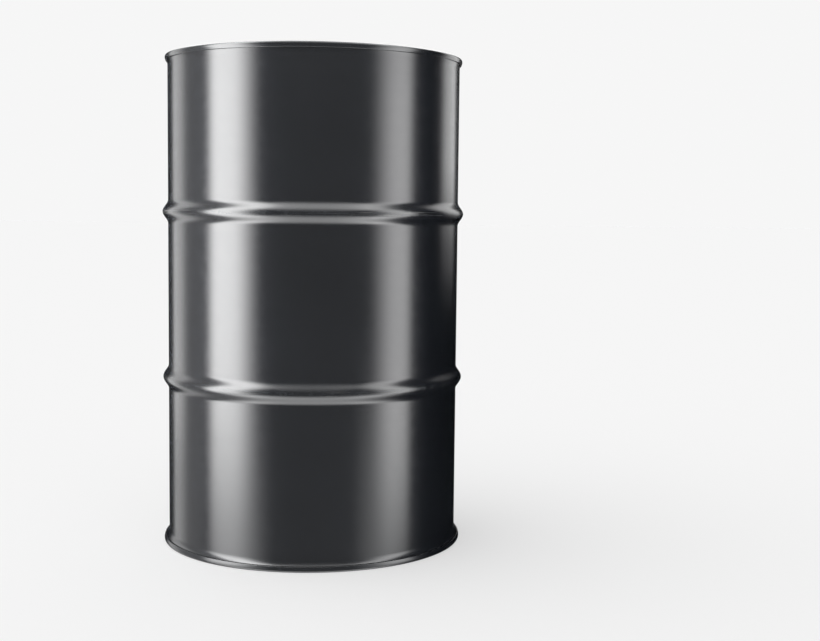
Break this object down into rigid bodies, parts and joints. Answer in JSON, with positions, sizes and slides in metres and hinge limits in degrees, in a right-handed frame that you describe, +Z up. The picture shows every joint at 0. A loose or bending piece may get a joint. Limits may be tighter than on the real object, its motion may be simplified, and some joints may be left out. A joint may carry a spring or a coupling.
{
  "type": "steel drum",
  "caption": "Tight-head steel oil drum: rolled shell with rolling hoops, seamed countersunk heads and a screwed bung under a crimped cap seal in a funnel recess.",
  "frame": {"origin": "centre of the ring that the bottom chime stands on, at floor level", "axes": "+Z up along the drum's axis; the bung is in the top head at 135 degrees from +X towards +Y"},
  "size_m": [0.585, 0.585, 0.937],
  "materials": {
    "drum_enamel": "semi-gloss charcoal enamel",
    "seal_enamel": "semi-gloss charcoal lacquer on thin tinplate",
    "zinc_plate": "bright zinc plate",
    "black_gasket": "matt black rubber",
    "pale_gasket": "off-white gasket",
    "seam_compound": "tan sealing compound"
  },
  "bodies": {
    "drum": {"shell": "drum_enamel", "bottom_head": "drum_enamel", "top_head": "drum_enamel", "bottom_seam_compound": "seam_compound", "top_seam_compound": "seam_compound", "bung_flange": "zinc_plate", "bung_flange_gasket": "black_gasket"},
    "plug_gasket": {"bung_plug_gasket": "pale_gasket"},
    "plug": {"bung_plug": "zinc_plate"},
    "seal": {"cap_seal": "seal_enamel"}
  },
  "joints": [
    {"name": "plug_thread_travel", "type": "slide", "parent": "drum", "child": "plug_gasket", "axis": [0, 0, 1], "range_m": [0, 0.01386]},
    {"name": "plug_turn", "type": "hinge", "parent": "plug_gasket", "child": "plug", "pos_m": [-0.10607, 0.10607, 0.888], "axis": [0, 0, 1], "range_deg": [0, 2160]},
    {"name": "cap_seal_pull", "type": "slide", "parent": "plug", "child": "seal", "axis": [0, 0, 1], "range_m": [0, 0.06]}
  ],
  "couplings": [
    {"joint": "plug_thread_travel", "follows": "plug_turn", "m_per_rad": 0.0003675}
  ]
}
